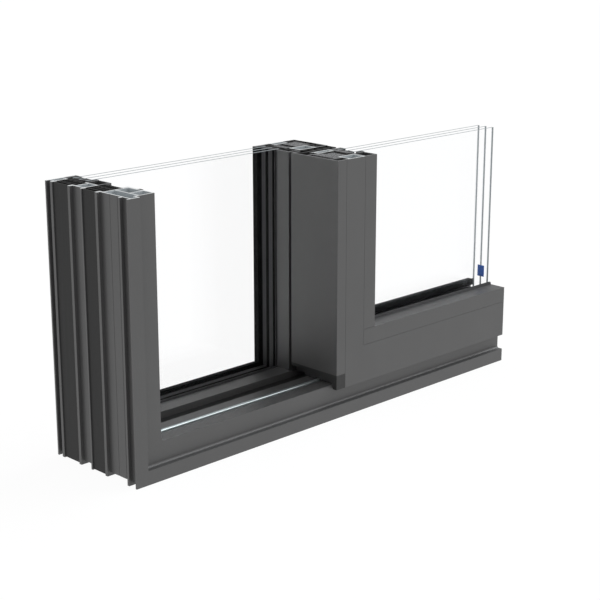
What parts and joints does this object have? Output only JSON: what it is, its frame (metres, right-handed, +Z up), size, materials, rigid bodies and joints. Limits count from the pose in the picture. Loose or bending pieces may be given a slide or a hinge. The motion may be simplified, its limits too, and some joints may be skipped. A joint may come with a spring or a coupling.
{
  "type": "sliding patio door corner section",
  "caption": "Cut-away corner of an aluminium lift-and-slide patio door: mitred frame, fixed glass light and a glazed sash that slides on a rail in front of it.",
  "frame": {"origin": "middle of the footprint of the sill, on the floor", "axes": "+X along the sill away from the jamb, +Y from the room side to the outer side, +Z up"},
  "size_m": [0.6914, 0.156, 0.3455],
  "materials": {
    "painted_aluminium": "matt grey powder coat, bare metal on the saw cuts",
    "insulating_plastic": "matt black glass-filled plastic",
    "gasket_rubber": "satin black rubber",
    "insulating_foam": "open-celled grey foam",
    "spacer_plastic": "matt dark grey warm-edge spacer",
    "glass": "clear float glass with polished cut edges",
    "stainless_steel": "drawn along its length",
    "carriage_steel": "zinc-plated",
    "cap_plastic": "fine-textured black moulding",
    "tag_blue": "plain glossy blue label"
  },
  "bodies": {
    "frame": {"fixed_inner_gasket": "gasket_rubber", "fixed_interlock": "insulating_plastic", "fixed_outer_gasket": "gasket_rubber", "fixed_pane_inner": "glass", "fixed_pane_middle": "glass", "fixed_pane_outer": "glass", "fixed_rebate_foam": "gasket_rubber", "fixed_spacer_bars": "spacer_plastic", "fixed_stile_foam": "insulating_foam", "fixed_stile_inner_profile": "painted_aluminium", "fixed_stile_insulator": "insulating_plastic", "fixed_stile_outer_profile": "painted_aluminium", "jamb_front_insulator": "insulating_plastic", "jamb_front_profile": "painted_aluminium", "jamb_middle_profile": "painted_aluminium", "jamb_rear_insulator": "insulating_plastic", "jamb_rear_profile": "painted_aluminium", "jamb_stop_seal": "gasket_rubber", "running_rail": "stainless_steel", "sill_cover": "painted_aluminium", "sill_front_insulator": "insulating_plastic", "sill_front_profile": "painted_aluminium", "sill_middle_profile": "painted_aluminium", "sill_rear_insulator": "insulating_plastic", "sill_rear_profile": "painted_aluminium"},
    "sash": {"glass_tag": "tag_blue", "roller_carriage": "carriage_steel", "sash_inner_gasket": "gasket_rubber", "sash_outer_gasket": "gasket_rubber", "sash_pane_inner": "glass", "sash_pane_middle": "glass", "sash_pane_outer": "glass", "sash_rail_bead": "painted_aluminium", "sash_rail_inner_profile": "painted_aluminium", "sash_rail_insulator": "insulating_plastic", "sash_rail_outer_profile": "painted_aluminium", "sash_rebate_foam": "insulating_foam", "sash_spacer_bars": "spacer_plastic", "sash_stile_bead": "painted_aluminium", "sash_stile_cover": "painted_aluminium", "sash_stile_foam": "insulating_foam", "sash_stile_inner_profile": "painted_aluminium", "sash_stile_insulator": "insulating_plastic", "sash_stile_outer_profile": "painted_aluminium", "stile_end_cap": "cap_plastic"}
  },
  "joints": [
    {"name": "sash_slide", "type": "slide", "parent": "frame", "child": "sash", "axis": [-1, 0, 0], "range_m": [0, 0.2825]}
  ]
}
